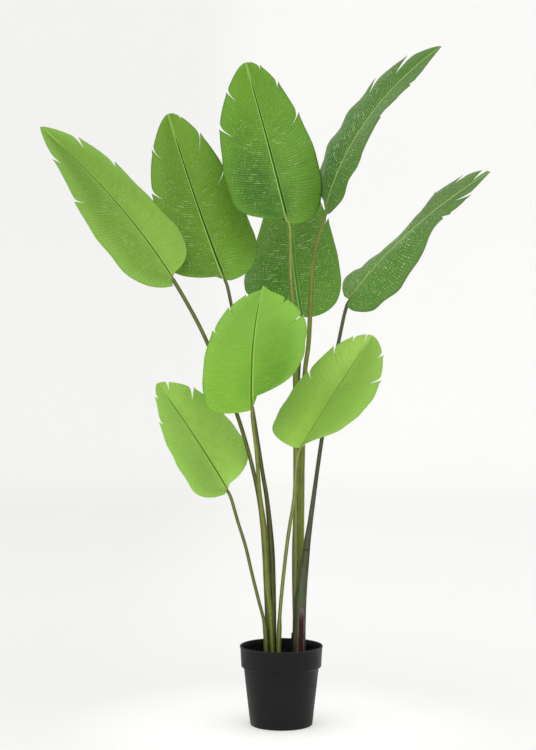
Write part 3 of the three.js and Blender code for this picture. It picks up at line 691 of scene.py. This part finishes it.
def blade_finish(shape, upper_face):
    """Glossy green above, dull and paler below. Both faces carry painted light and shade: in the
    halves' greens, in the vein furrows, and as pale dots and dashes on the veins, which are painted
    glints. The upper face also has painted shade in the midrib's channel and a painted highlight on its
    lips.
    """
    low_left, low_right, high_left, high_right, edge = (rgb(*green) for green in shape.greens)
    large, strong_glints = shape.mould == "large", shape.dashes > 0.9
    leaf = Finish(f"blade_{shape.name}_{'upper' if upper_face else 'under'}", 0.12)
    span, mix, stain, clouds = leaf.span, leaf.mix, leaf.stain, leaf.clouds
    times, plus = leaf.times, leaf.plus
    vein_map, size_map, place = leaf.uv("vein"), leaf.uv("size"), leaf.place()
    sideways, vein = leaf.axis(vein_map, "X"), leaf.axis(vein_map, "Y")
    across = times(leaf.gap(sideways, 0.5), 2)
    offset = times(plus(leaf.axis(size_map, "X"), -0.5), SIZE_MAP_WIDTH)
    along = leaf.axis(size_map, "Y")

    # Broad greens: darker and bluer low down at the left, yellower along the margin. Each half takes its
    # own greens, which carry painted light and shade: lighter on halves that lie in shade, greyish where a
    # sheen is painted.
    drift = span(clouds(place, 14, 4, 0.55), 0.3, 0.7, -0.07, 0.07)
    to_right = span(plus(sideways, drift), 0.3, 0.7)
    to_tip = span(plus(along, drift), 0.15, 0.85)
    low, high = mix(to_right, low_left, low_right), mix(to_right, high_left, high_right)
    green = stain(mix(to_tip, low, high), edge, across, 0.62, 1, 0.55)
    blotch = clouds(vein_map, (5, 26, 1), 4, 0.6)
    dark = shade(low_left, 0.6)
    green = stain(green, dark, blotch, 0.48, 0.25, 0.22)
    green = stain(green, edge, blotch, 0.52, 0.78, 0.35)

    # Side veins: a ridge between two furrows, which are darkened as painted shade, each with its own row of
    # pale dots and dashes, painted glints off the raised veins.
    wander = clouds(vein_map, (4, 20, 1), 2)
    phase = plus(times(vein, SIDE_VEINS), times(wander, 1.2))
    ridge = leaf.wave(phase)
    own_vein = times(leaf.math("FLOOR", plus(phase, 0.25)), 7.3)

    def along_vein(steps):
        across_and_up = {"X": times(sideways, steps), "Y": own_vein}
        return clouds(leaf.node("CombineXYZ", across_and_up), 1, 1)

    line = times(span(ridge, 0.2, 1), span(along_vein(16), 0.35, 0.7, 0.1, 1))
    green = mix(times(line, 0.16 if large else 0.34), green, edge)
    # Painted shade: the furrows between the vein ridges are darkened.
    green = stain(green, dark, ridge, -0.2, -1, shape.veins)
    shift = plus(times(own_vein, 0.37), times(along_vein(12), 3))
    beat = leaf.wave(plus(times(sideways, DOTS_ACROSS), shift))
    from_step = 0.05 if strong_glints else 0.30
    glint_dots = times(
        span(beat, from_step, 0.85), span(ridge, from_step, 0.85),
        span(along_vein(64), 0.44, 0.58, 0.03, 1), span(blotch, 0.34, 0.56, 0.25, 1),
    )
    crowd = clouds(vein_map, (5, 9, 1), 2)
    dashes = times(
        span(along_vein(11), 0.58, 0.62), span(ridge, 0.3, 0.8),
        span(crowd, 0.46, 0.55), span(along, 0.8, 0.5), span(across, 0.85, 0.5), 0.75,
    )
    fleck = times(
        leaf.math("MAXIMUM", glint_dots, dashes), span(along, 1, 0.6, 0.4, 1),
        span(across, 0.97, 0.82, 0.1, 1), shape.dashes,
    )
    # Painted highlight: the pale dots and dashes stand for glints off the raised veins.
    green = mix(fleck, green, blend(edge, rgb(212, 232, 172), 0.8 if strong_glints else 0.6))

    # Midrib: a channel with pale lips that ends in a pale line at the tip, olive at the foot. The channel's
    # colour is painted shade, dark on most blades and pale on those whose channel is painted as lit, and
    # the pale lips carry a painted highlight, brighter on one side. Seen from below it is a plain pale
    # ridge.
    grown = leaf.math("DIVIDE", leaf.gap(offset, 0), span(along, 0, 1, 1, 0.55))
    rib_colour = blend(edge, rgb(176, 212, 116), 0.75)
    if upper_face:
        near_tip = span(along, 0.80, 0.92)
        half = 2.9 if large else 3.3
        before_tip = leaf.math("SUBTRACT", 1, near_tip)
        # Painted shade in the channel, and a painted highlight on the lips, stronger on the lit side.
        groove = times(span(grown, half, half * 0.6), before_tip, 0.9)
        lip_highlight = span(offset, -0.5 * shape.lip, 0.5 * shape.lip, 0.35, 1)
        lips = times(span(grown, half * 0.8, half), span(grown, 6, 4), lip_highlight)
        tip_line = times(span(grown, 3.6, 1.5), near_tip, 0.6)
        deep = mix(span(along, 0, 0.08), rgb(112, 114, 36), rgb(*shape.midrib))
        green = mix(times(leaf.math("MAXIMUM", lips, tip_line), 0.9), green, rib_colour)
        green = mix(groove, green, deep)
    else:
        green = mix(0.38, green, rgb(150, 176, 118))
        green = stain(green, rib_colour, grown, 5.6, 3.8, 1)
    if shape.dashes > 0.4:
        green = stain(green, rgb(82, 84, 56), across, 0.975, 0.995, 0.35)
    green = stain(green, dark, clouds(place, 330, 3, 0.6), 0.35, 0.7, 0.22)
    leaf.set("Base Color", green)
    shine = (0.44, 0.58) if upper_face else (0.55, 0.70)
    leaf.set("Roughness", span(blotch, 0.25, 0.75, *shine))
    leaf.bump(ridge, 0.22, 0.0005)
    leaf.bump(clouds(vein_map, (12, 700, 1), 2), 0.25, 0.0003)
    return leaf.material


blade_shapes = {name: Blade(name, sizes) for name, sizes in BLADES.items()}
BLADE_TONES = {
    "light": ("far_left", "front", "front_right", "front_left"),
    "mid": ("left", "top"),
    "dark": ("behind", "top_right", "far_right"),
}
for tone, names in BLADE_TONES.items():
    for name in names:
        blade = blade_object(blade_shapes[name])
        for upper_face in (True, False):
            blade.data.materials.append(blade_finish(blade_shapes[name], upper_face))
        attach(blade, "root")
        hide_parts(f"blade_{name}")

# Leaf stalks
# Each blade has one firm, slightly channelled stalk that runs down into the clump. The three
# front ones end in a thicker collar, and the far right one widens into the sheath of its clump.
STALK_SIDES = 24
STALK_STEPS = 160
CURVE_STEPS = 60
UPRIGHT_AT = (100, 118, 148)
NECK = 16
BELOW_BLADE = 1.3
RUN_UNDER_BLADE = (6, 24)
UNDER_MIDRIB = 0.6
TIP_RADIUS = 0.9
SLIM_OVER = 28
CHANNEL_DEPTH = 0.10
CHANNEL_WIDTH = 0.10
UNEVENNESS = 0.02
# The sheath: round up to this radius and flatter beyond it, with a seam at this height in metres.
SHEATH_ROUND_TO = 5
SHEATH_FLATNESS = 0.4
SHEATH_SEAM = 0.379
# The place in the mix and the path up from it, radius at some heights, and colours low and high.
STALKS = {
    "far_left": dict(
        path=[(-29, 0), (-33, -6, 291), (-48, -26, 488), (-89, -44, 654), (-129, -54, 756),
              (-174, -59, 859)],
        radii=[(148, 5), (550, 4.4), (950, 4.2)],
        colours=((54, 58, 22), (92, 95, 40)), tone="brown",
    ),
    "left": dict(
        path=[(-16, 0), (-17, -2, 269), (-22, -6, 388), (-31, -10, 486), (-41, -11, 548), (-63, -13, 687),
              (-85, -8, 800), (-107, 1, 902)],
        radii=[(148, 5), (270, 5.8), (380, 7), (470, 5.2), (560, 4.3), (902, 3.6)],
        colours=((46, 50, 18), (86, 88, 40)), tone="brown",
    ),
    "top": dict(
        path=[(30, 10), (31.6, 7, 414), (30.5, 4, 746), (25.5, 4, 900), (20.5, 6, 984)],
        radii=[(148, 5.8), (560, 5.8), (740, 5.4), (930, 4.9), (1060, 4.2)],
        colours=((96, 92, 42), (118, 134, 58)), tone="olive",
    ),
    "behind": dict(
        path=[(33, 25), (29.5, 28, 250), (28.5, 36, 370), (31, 45, 450), (35, 60, 591), (39, 86, 756)],
        radii=[(148, 5), (600, 4.4), (870, 4)],
        colours=((44, 48, 30), (86, 100, 50)), tone="dark",
    ),
    "top_right": dict(
        path=[(43, 10), (43.2, 20, 320), (44, 34, 460), (46, 48, 592), (53, 75, 763), (61, 84, 823),
              (71, 96, 993), (80, 97, 1048)],
        radii=[(148, 5.6), (330, 6.2), (440, 6.9), (600, 6.9), (760, 5.2), (960, 5.2), (1100, 4.2)],
        colours=((132, 136, 46), (114, 126, 50)), tone="olive",
    ),
    "far_right": dict(
        path=[(37.5, -8), (39, -10, 224), (41, -11, 267), (46, -12, 311), (56.5, -10, 398), (63, -9, 442),
              (69, -5, 485), (88, 8, 616), (106, 25, 723), (127, 45, 832)],
        radii=[(148, 14.8), (224, 14.2), (267, 13.4), (311, 10.8), (354, 9.2), (398, 7.3), (442, 5.6),
               (529, 4.6), (900, 3.9)],
        colours=((62, 70, 40), (72, 81, 56)), tone="dark",
    ),
    "front": dict(
        path=[(-19, -15), (-23, -29, 230), (-30, -52, 298), (-36.3, -106, 425), (-46, -136, 510),
              (-53, -157, 602)],
        radii=[(200, 5.8), (290, 6.7), (380, 6.8), (440, 6.5), (480, 5.3), (520, 4.1), (684, 3.9)],
        colours=((84, 92, 32), (112, 118, 44)), tone="olive",
    ),
    "front_right": dict(
        path=[(-6, -15), (-4, -29, 230), (1, -52, 297), (11, -100, 398), (16.5, -118, 440),
              (25, -138, 495)],
        radii=[(210, 5.6), (235, 4), (605, 3.8)],
        colours=((96, 102, 46), (122, 128, 60)), tone="olive",
    ),
    "front_left": dict(
        path=[(-32, -15), (-36, -27, 219), (-49, -45, 275), (-63, -68, 335), (-77, -91, 398),
              (-92, -104, 448)],
        radii=[(205, 5.4), (235, 3.7), (515, 3.4)],
        colours=((84, 89, 40), (106, 110, 52)), tone="olive",
    ),
}


def run_along(line):
    """How far along a line of points each one lies."""
    return np.concatenate([[0], np.cumsum(np.linalg.norm(np.diff(line, axis=0), axis=1))])


def smooth_curve(points, count):
    """An even run of points along a smooth curve through the given ones."""
    points = [np.array(p, float) for p in points]
    points = [2 * points[0] - points[1], *points, 2 * points[-1] - points[-2]]
    fine = []
    for i in range(1, len(points) - 2):
        a, b, c, d = points[i - 1:i + 3]
        steps = [max(np.linalg.norm(q - p), 1e-4) ** 0.5 for p, q in ((a, b), (b, c), (c, d))]
        leave = ((b - a) / steps[0] - (c - a) / (steps[0] + steps[1]) + (c - b) / steps[1]) * steps[1]
        reach = ((c - b) / steps[1] - (d - b) / (steps[1] + steps[2]) + (d - c) / steps[2]) * steps[1]
        square, cube = 3 * (c - b) - 2 * leave - reach, 2 * (b - c) + leave + reach
        for t in np.linspace(0, 1, CURVE_STEPS, endpoint=i == len(points) - 3):
            fine.append(b + leave * t + square * t * t + cube * t ** 3)
    fine = np.array(fine)
    run = run_along(fine)
    even = np.linspace(0, run[-1], count)
    return np.stack([np.interp(even, run, fine[:, k]) for k in range(3)], axis=1)


def stalk_centreline(name):
    """Up from the mix to the foot of the blade, and on under its midrib."""
    path, shape = STALKS[name]["path"], blade_shapes[name]
    start = shape.point(0.0, 0.0)
    axis = unit(shape.point(0.002, 0.0) - start)
    neck = start - shape.normal(0.0, 0.0) * BELOW_BLADE - axis * NECK
    foot = [(*path[0], z) for z in UPRIGHT_AT]
    shares = [run / np.linalg.norm(shape.chord) for run in RUN_UNDER_BLADE]
    depth = SHEET + UNDER_MIDRIB
    under = [shape.point(share, 0.0) - shape.normal(share, 0.0) * depth for share in shares]
    return smooth_curve([*foot, *path[1:], neck, *under], STALK_STEPS + 1)


def stalk_radii(name, height):
    """Half width across and half depth. Only the sheath is wider than it is deep."""
    across = float(np.interp(height, *zip(*STALKS[name]["radii"])))
    if name != "far_right" or across < SHEATH_ROUND_TO:
        return across, across
    return across, SHEATH_ROUND_TO + (across - SHEATH_ROUND_TO) * SHEATH_FLATNESS


def stalk_object(name, line):
    tangents, run = unit(np.gradient(line, axis=0)), run_along(line)
    points = [line[0]]
    for i, (centre, along) in enumerate(zip(line, tangents)):
        right = unit(np.array([1.0, 0, 0]) - along * along[0])
        front = np.cross(right, along)
        slim = np.clip((run[-1] - run[i]) / SLIM_OVER, 0, 1)
        across, deep = [TIP_RADIUS + (r - TIP_RADIUS) * slim for r in stalk_radii(name, centre[2])]
        depth = CHANNEL_DEPTH * min(1, 3 * i / STALK_STEPS)
        for j in range(STALK_SIDES):
            angle = 2 * math.pi * j / STALK_SIDES + math.pi
            channel = 1 - depth * math.exp(-((math.cos(angle) - 1) / CHANNEL_WIDTH) ** 2)
            spot = (3 * math.cos(angle), 3 * math.sin(angle), centre[2] * 0.03 + len(name))
            offset = right * math.sin(angle) * across + front * math.cos(angle) * deep
            points.append(centre + offset * channel * (1 + UNEVENNESS * noise.noise(Vector(spot))))
    points.append(line[-1])
    faces = turned_faces(STALK_STEPS + 1, STALK_SIDES, flip=True)
    piece = build_piece(f"leaf_stalk_{name}", np.array(points) * MM, faces)
    layer = piece.data.uv_layers.new(name="round")
    for polygon in piece.data.polygons:
        if len(polygon.vertices) == 4:
            j = polygon.index // (STALK_STEPS + 2)
            for corner, vertex, step in zip(polygon.loop_indices, polygon.vertices, (j, j + 1, j + 1, j)):
                layer.data[corner].uv = (step / STALK_SIDES, points[vertex][2] * MM)
    return piece


def stalk_finish(name, low, high):
    """Streaked along its fibres, with a painted highlight down the middle of its front and painted shade at
    the edges.
    """
    rind = Finish(f"stalk_{name}", 0.25)
    span, stain, clouds = rind.span, rind.stain, rind.clouds
    place, round_map = rind.place(), rind.uv("round")
    height = rind.axis(place, "Z")
    fibre = clouds(place, (520, 520, 16), 3, 0.6)
    patch = clouds(place, (40, 40, 26), 4, 0.6)
    streak = clouds(round_map, (11, 9, 1), 3, 0.6)
    speck = clouds(place, (700, 700, 200), 1)
    from_front = rind.gap(rind.axis(round_map, "X"), 0.5)
    lighter = (*[min(1.0, v * 1.5 + 0.01) for v in high[:3]], 1.0)
    darker = shade(low, 0.4)
    tone = rind.mix(span(height, 0.25, 0.75), low, high)
    for colour, *steps in (
        (lighter, fibre, 0.50, 0.72, 0.6), (darker, fibre, 0.50, 0.30, 0.6),
        (darker, patch, 0.52, 0.72, 0.6), (lighter, patch, 0.46, 0.28, 0.35),
        (lighter, streak, 0.52, 0.66, 0.55), (darker, streak, 0.48, 0.34, 0.45),
        # Painted highlight down the middle of the front, and painted shade towards the sides.
        (lighter, from_front, 0.09, 0.02, 0.6), (darker, from_front, 0.12, 0.24, 0.7),
        (lighter, speck, 0.64, 0.72, 0.6),
    ):
        tone = stain(tone, colour, *steps)
    if name == "far_right":
        dried = rind.plus(height, span(fibre, 0.3, 0.7, -0.02, 0.02))
        tone = stain(tone, rgb(60, 46, 36), dried, 0.225, 0.165, 0.75)
        tone = stain(tone, darker, rind.gap(height, SHEATH_SEAM), 0.0030, 0.0008, 0.8)
    else:
        tone = stain(tone, rgb(72, 64, 38), height, 0.17, 0.14, 0.6)
    rind.set("Base Color", tone)
    rind.set("Roughness", span(fibre, 0.3, 0.7, 0.42, 0.6))
    rind.bump(fibre, 0.35, 0.0005)
    return rind.material


stalk_lines = {name: stalk_centreline(name) for name in STALKS}
for name, sizes in STALKS.items():
    stalk = stalk_object(name, stalk_lines[name])
    stalk.data.materials.append(stalk_finish(name, *[rgb(*colour) for colour in sizes["colours"]]))
    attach(stalk, "root")
    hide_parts(f"stalk_{name}")

# Withered sheaths
# Two dead leaf bases, dried to brown paper-like shells that still clasp the foot of the right
# clump: a wide pointed one in front and a short dark one at its left.

# Middle and half are degrees round the clump, from its front, and top is a height.
WITHERED = {
    "dry_sheath": dict(slot="withered", middle=15, half=26, top=258, pale_edges=0.7,
                       light=(82, 50, 38), dark=(32, 18, 12)),
    # The bract's near-black colours are its dry brown darkened with painted shade, as it lies in the shadow
    # at the foot of the sheath.
    "bract": dict(slot="bract", middle=-72, half=22, top=200, pale_edges=0.05,
                  light=(18, 15, 12), dark=(6, 5, 5)),
}
WITHERED_ROWS = 48
WITHERED_COLUMNS = 22
WITHERED_FOOT = 135.5
SHELL = 0.7
SHELL_GAP = 1.45
SIDES_GAPE = 0.5
RIBS = 0.25
CREASES = 0.45
RAGGEDNESS = 0.05
BLEACHED_TOP = 34


def withered_object(name, sizes):
    """A curved shell round the far right stalk, tapering to a ragged point and gaping at its sides."""
    line = stalk_lines["far_right"]
    points, spread_and_rise = [], []
    for face in (0.5, -0.5):
        for i in range(WITHERED_ROWS + 1):
            rise = i / WITHERED_ROWS
            z = WITHERED_FOOT + (sizes["top"] - WITHERED_FOOT) * rise
            x, y = [np.interp(z, line[:, 2], line[:, k]) for k in (0, 1)]
            across, deep = stalk_radii("far_right", z)
            taper = max(math.sqrt(max(0.0, 1 - rise ** 6)), 0.04)
            for j in range(WITHERED_COLUMNS + 1):
                spread = 2 * j / WITHERED_COLUMNS - 1
                ragged = 1 + RAGGEDNESS * noise.noise(Vector((rise * 14, spread, len(name))))
                angle = math.radians(sizes["middle"] + spread * sizes["half"] * taper * ragged)
                lift = SHELL_GAP + SIDES_GAPE * abs(spread) ** 3 + RIBS * math.sin(spread * 17 + rise * 2)
                crease = CREASES * noise.noise(Vector((spread * 5, rise * 5, 2)))
                out = lift + crease + SHELL * face
                spread_and_rise.append((0.5 + 0.5 * spread, rise))
                points.append((x + (across + out) * math.sin(angle), y - (deep + out) * math.cos(angle), z))
    stride = WITHERED_COLUMNS + 1
    corners = [i * stride + j for i in range(WITHERED_ROWS) for j in range(WITHERED_COLUMNS)]
    outer = [(a, a + 1, a + 1 + stride, a + stride) for a in corners]
    piece = build_piece(f"{name}_shell", np.array(points) * MM, sheet_faces(outer, len(points) // 2))
    add_map(piece, "shell", *zip(*spread_and_rise))
    return piece


def withered_finish(name, sizes):
    husk = Finish(f"{name}_paper", 0.2)
    light, dark, pale_edges = rgb(*sizes["light"]), rgb(*sizes["dark"]), sizes["pale_edges"]
    place = husk.place()
    fibre = husk.clouds(place, (700, 700, 22), 4, 0.65)
    stain = husk.clouds(place, 60, 3)
    tone = husk.mix(husk.span(fibre, 0.35, 0.68), dark, light)
    tone = husk.stain(tone, dark, stain, 0.5, 0.7, 0.6)
    low, high = (sizes["top"] - BLEACHED_TOP) * MM, sizes["top"] * MM
    bleached_top = husk.span(husk.axis(place, "Z"), low, high, 0, 0.7 * pale_edges)
    # Painted highlight: paler along the shell's side edges, where they catch the light.
    from_middle = husk.gap(husk.axis(husk.uv("shell"), "X"), 0.5)
    rim = husk.times(
        husk.span(from_middle, 0.36, 0.47, 0, pale_edges), husk.span(stain, 0.35, 0.55, 0.3, 1)
    )
    paled = husk.math("MAXIMUM", bleached_top, rim)
    husk.set("Base Color", husk.mix(paled, tone, blend(light, rgb(190, 168, 160), 0.7)))
    husk.set("Roughness", 0.75)
    husk.bump(fibre, 0.6, 0.0007)
    return husk.material


for name, sizes in WITHERED.items():
    shell = withered_object(name, sizes)
    shell.data.materials.append(withered_finish(name, sizes))
    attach(shell, "root")
    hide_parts(name)

# Studio
# A round white cove: a floor that bends up into a wall well behind the camera on every side. The paper
# glows a little round the pot, painted light in place of the pot's shadow, and on the far wall, and it is
# painted a little greyer towards the left as painted shade. Three weak soft lights and the open top give
# even light.
COVE_RADIUS = 10.0
COVE_BEND = 2.5
COVE_HEIGHT = 5.0
COVE_SIDES = 128
BEND_STEPS = 16
FLOOR_RINGS = (0.0, 0.4, 1.5, 4.0, COVE_RADIUS - COVE_BEND)

profile = [(radius, 0.0) for radius in FLOOR_RINGS]
for angle in np.linspace(0, math.pi / 2, BEND_STEPS + 1)[1:]:
    radius = FLOOR_RINGS[-1] + COVE_BEND * math.sin(angle)
    profile.append((radius, COVE_BEND * (1 - math.cos(angle))))
profile.append((COVE_RADIUS, COVE_HEIGHT))
cove = turned_piece("white_cove", profile, COVE_SIDES)

paper = Finish("white_paper", 0.1)
place = paper.place()
fleck = paper.clouds(place, 0.8, 2)
white = paper.mix(paper.span(fleck, 0.3, 0.7), (0.904, 0.904, 0.896, 1), (0.914, 0.914, 0.908, 1))
# Painted shade: the paper is a little greyer towards the left.
white = paper.stain(white, (0.850, 0.850, 0.845, 1), paper.axis(place, "X"), 0, -0.7, 1)
# Painted light: the paper glows round the pot, in place of the pot's shadow on the floor, and a little on
# the far wall.
from_pot = paper.node("VectorMath", {0: place}, "Value", operation="LENGTH")
near_pot = paper.span(from_pot, 0.55, 0.1, 0, 0.17)
far_wall = paper.span(from_pot, 5, 9, 0, 0.06)
paper.set("Base Color", white)
paper.set("Roughness", 0.9)
paper.set("Emission Color", (1.0, 0.995, 0.98, 1))
paper.set("Emission Strength", paper.plus(near_pot, far_wall))
cove.data.materials.append(paper.material)
cove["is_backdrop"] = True


def soft_light(name, place, target, size, power, colour=(1, 1, 1)):
    lamp = bpy.data.lights.new(name, "AREA")
    lamp.shape = "RECTANGLE"
    lamp.size, lamp.size_y = size
    lamp.energy, lamp.color = power, colour
    aim = Vector(target) - Vector(place)
    add_object(name, lamp, place, aim.to_track_quat("-Z", "Y").to_euler())


soft_light("overhead", (0.0, -1.4, 3.4), (0, 0, 0.8), (2.6, 2.2), 9)
soft_light("right_fill", (3.0, -1.6, 1.6), (0, 0, 0.9), (1.8, 2.6), 3, (0.97, 0.985, 1.0))
soft_light("left_window", (-3.2, -2.2, 1.6), (0, 0, 0.8), (2.2, 2.6), 16)
world = bpy.data.worlds.new("studio")
world.use_nodes = True
sky = world.node_tree.nodes["Background"].inputs
sky["Color"].default_value = (1.0, 1.0, 0.99, 1)
sky["Strength"].default_value = 1.05
bpy.context.scene.world = world
view = bpy.context.scene.view_settings
view.view_transform = "Standard"
view.look = "None"

CAMERA_PLACE = (-0.0288, -3.318, 0.7565)
PHOTO_HEIGHT_PIXELS = 750
FOCAL_PIXELS = 1530
lens = bpy.data.cameras.new("camera")
lens.sensor_width = 36.0
lens.lens = lens.sensor_width * FOCAL_PIXELS / PHOTO_HEIGHT_PIXELS
bpy.context.scene.camera = add_object("camera", lens, CAMERA_PLACE, (math.pi / 2, 0, 0))

bpy.context.view_layer.update()
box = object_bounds()
as_lists = [[[float(v) for v in corner] for corner in b] for b in (CAD_BOX, box)]
